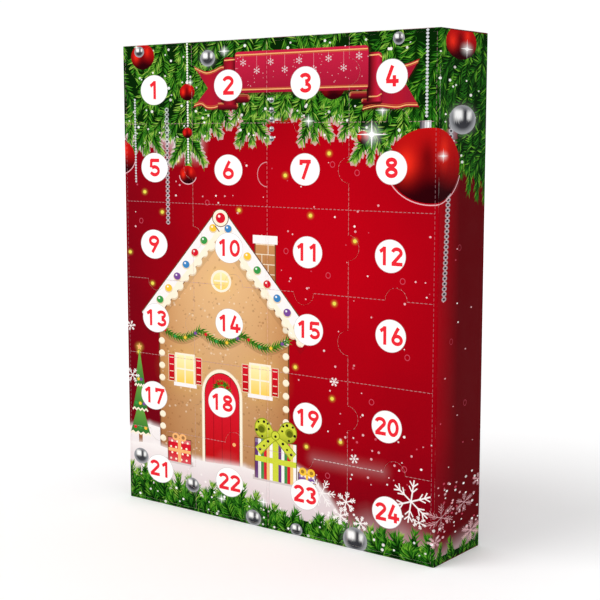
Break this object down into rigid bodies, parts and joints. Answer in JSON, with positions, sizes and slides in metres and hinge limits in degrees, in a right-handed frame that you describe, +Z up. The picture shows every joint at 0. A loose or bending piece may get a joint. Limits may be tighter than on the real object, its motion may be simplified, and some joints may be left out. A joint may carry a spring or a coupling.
{
  "type": "advent calendar",
  "caption": "Standing card advent calendar: a printed carton with perforated numbered doors over a grid of small compartments.",
  "frame": {"origin": "middle of the bottom end panel's outer face, where the calendar stands", "axes": "+Z up along the height, -Y out of the front with the doors, +X to the right as seen from the front"},
  "size_m": [0.28, 0.06, 0.35],
  "materials": {
    "printed_board": "folding boxboard, printed deep red with fir and ornaments, satin varnish",
    "bare_board": "unprinted grey-white inside of the boxboard",
    "divider_card": "uncoated grey card"
  },
  "bodies": {
    "carton": {"carton_sleeve": "printed_board", "glue_seam_flap": "bare_board", "top_end_panel": "printed_board", "top_inner_flap": "bare_board", "top_dust_flap_left": "bare_board", "top_dust_flap_right": "bare_board", "bottom_end_panel": "printed_board", "bottom_inner_flap": "bare_board", "bottom_dust_flap_left": "bare_board", "bottom_dust_flap_right": "bare_board", "divider_upright_1": "divider_card", "divider_upright_2": "divider_card", "divider_upright_3": "divider_card", "divider_shelf_1": "divider_card", "divider_shelf_2": "divider_card", "divider_shelf_3": "divider_card", "divider_shelf_4": "divider_card", "divider_shelf_5": "divider_card"},
    "door_01": {"door_01": "printed_board"},
    "door_02": {"door_02": "printed_board"},
    "door_03": {"door_03": "printed_board"},
    "door_04": {"door_04": "printed_board"},
    "door_05": {"door_05": "printed_board"},
    "door_06": {"door_06": "printed_board"},
    "door_07": {"door_07": "printed_board"},
    "door_08": {"door_08": "printed_board"},
    "door_09": {"door_09": "printed_board"},
    "door_10": {"door_10": "printed_board"},
    "door_11": {"door_11": "printed_board"},
    "door_12": {"door_12": "printed_board"},
    "door_13": {"door_13": "printed_board"},
    "door_14": {"door_14": "printed_board"},
    "door_15": {"door_15": "printed_board"},
    "door_16": {"door_16": "printed_board"},
    "door_17": {"door_17": "printed_board"},
    "door_18": {"door_18": "printed_board"},
    "door_19": {"door_19": "printed_board"},
    "door_20": {"door_20": "printed_board"},
    "door_21": {"door_21": "printed_board"},
    "door_22": {"door_22": "printed_board"},
    "door_23": {"door_23": "printed_board"},
    "door_24": {"door_24": "printed_board"}
  },
  "joints": [
    {"name": "door_01_hinge", "type": "hinge", "parent": "carton", "child": "door_01", "pos_m": [-0.13745, -0.03, 0.32083], "axis": [0, 0, -1], "range_deg": [0, 170]},
    {"name": "door_02_hinge", "type": "hinge", "parent": "carton", "child": "door_02", "pos_m": [-0.00135, -0.03, 0.32083], "axis": [0, 0, 1], "range_deg": [0, 90]},
    {"name": "door_03_hinge", "type": "hinge", "parent": "carton", "child": "door_03", "pos_m": [0.00135, -0.03, 0.32083], "axis": [0, 0, -1], "range_deg": [0, 90]},
    {"name": "door_04_hinge", "type": "hinge", "parent": "carton", "child": "door_04", "pos_m": [0.13745, -0.03, 0.32083], "axis": [0, 0, 1], "range_deg": [0, 170]},
    {"name": "door_05_hinge", "type": "hinge", "parent": "carton", "child": "door_05", "pos_m": [-0.13745, -0.03, 0.2625], "axis": [0, 0, -1], "range_deg": [0, 170]},
    {"name": "door_06_hinge", "type": "hinge", "parent": "carton", "child": "door_06", "pos_m": [-0.00135, -0.03, 0.2625], "axis": [0, 0, 1], "range_deg": [0, 90]},
    {"name": "door_07_hinge", "type": "hinge", "parent": "carton", "child": "door_07", "pos_m": [0.00135, -0.03, 0.2625], "axis": [0, 0, -1], "range_deg": [0, 90]},
    {"name": "door_08_hinge", "type": "hinge", "parent": "carton", "child": "door_08", "pos_m": [0.13745, -0.03, 0.2625], "axis": [0, 0, 1], "range_deg": [0, 170]},
    {"name": "door_09_hinge", "type": "hinge", "parent": "carton", "child": "door_09", "pos_m": [-0.13745, -0.03, 0.20417], "axis": [0, 0, -1], "range_deg": [0, 170]},
    {"name": "door_10_hinge", "type": "hinge", "parent": "carton", "child": "door_10", "pos_m": [-0.00135, -0.03, 0.20417], "axis": [0, 0, 1], "range_deg": [0, 90]},
    {"name": "door_11_hinge", "type": "hinge", "parent": "carton", "child": "door_11", "pos_m": [0.00135, -0.03, 0.20417], "axis": [0, 0, -1], "range_deg": [0, 90]},
    {"name": "door_12_hinge", "type": "hinge", "parent": "carton", "child": "door_12", "pos_m": [0.13745, -0.03, 0.20417], "axis": [0, 0, 1], "range_deg": [0, 170]},
    {"name": "door_13_hinge", "type": "hinge", "parent": "carton", "child": "door_13", "pos_m": [-0.13745, -0.03, 0.14583], "axis": [0, 0, -1], "range_deg": [0, 170]},
    {"name": "door_14_hinge", "type": "hinge", "parent": "carton", "child": "door_14", "pos_m": [-0.00135, -0.03, 0.14583], "axis": [0, 0, 1], "range_deg": [0, 90]},
    {"name": "door_15_hinge", "type": "hinge", "parent": "carton", "child": "door_15", "pos_m": [0.00135, -0.03, 0.14583], "axis": [0, 0, -1], "range_deg": [0, 90]},
    {"name": "door_16_hinge", "type": "hinge", "parent": "carton", "child": "door_16", "pos_m": [0.13745, -0.03, 0.14583], "axis": [0, 0, 1], "range_deg": [0, 170]},
    {"name": "door_17_hinge", "type": "hinge", "parent": "carton", "child": "door_17", "pos_m": [-0.13745, -0.03, 0.0875], "axis": [0, 0, -1], "range_deg": [0, 170]},
    {"name": "door_18_hinge", "type": "hinge", "parent": "carton", "child": "door_18", "pos_m": [-0.00135, -0.03, 0.0875], "axis": [0, 0, 1], "range_deg": [0, 90]},
    {"name": "door_19_hinge", "type": "hinge", "parent": "carton", "child": "door_19", "pos_m": [0.00135, -0.03, 0.0875], "axis": [0, 0, -1], "range_deg": [0, 90]},
    {"name": "door_20_hinge", "type": "hinge", "parent": "carton", "child": "door_20", "pos_m": [0.13745, -0.03, 0.0875], "axis": [0, 0, 1], "range_deg": [0, 170]},
    {"name": "door_21_hinge", "type": "hinge", "parent": "carton", "child": "door_21", "pos_m": [-0.13745, -0.03, 0.02917], "axis": [0, 0, -1], "range_deg": [0, 170]},
    {"name": "door_22_hinge", "type": "hinge", "parent": "carton", "child": "door_22", "pos_m": [-0.00135, -0.03, 0.02917], "axis": [0, 0, 1], "range_deg": [0, 90]},
    {"name": "door_23_hinge", "type": "hinge", "parent": "carton", "child": "door_23", "pos_m": [0.00135, -0.03, 0.02917], "axis": [0, 0, -1], "range_deg": [0, 90]},
    {"name": "door_24_hinge", "type": "hinge", "parent": "carton", "child": "door_24", "pos_m": [0.13745, -0.03, 0.02917], "axis": [0, 0, 1], "range_deg": [0, 170]}
  ]
}
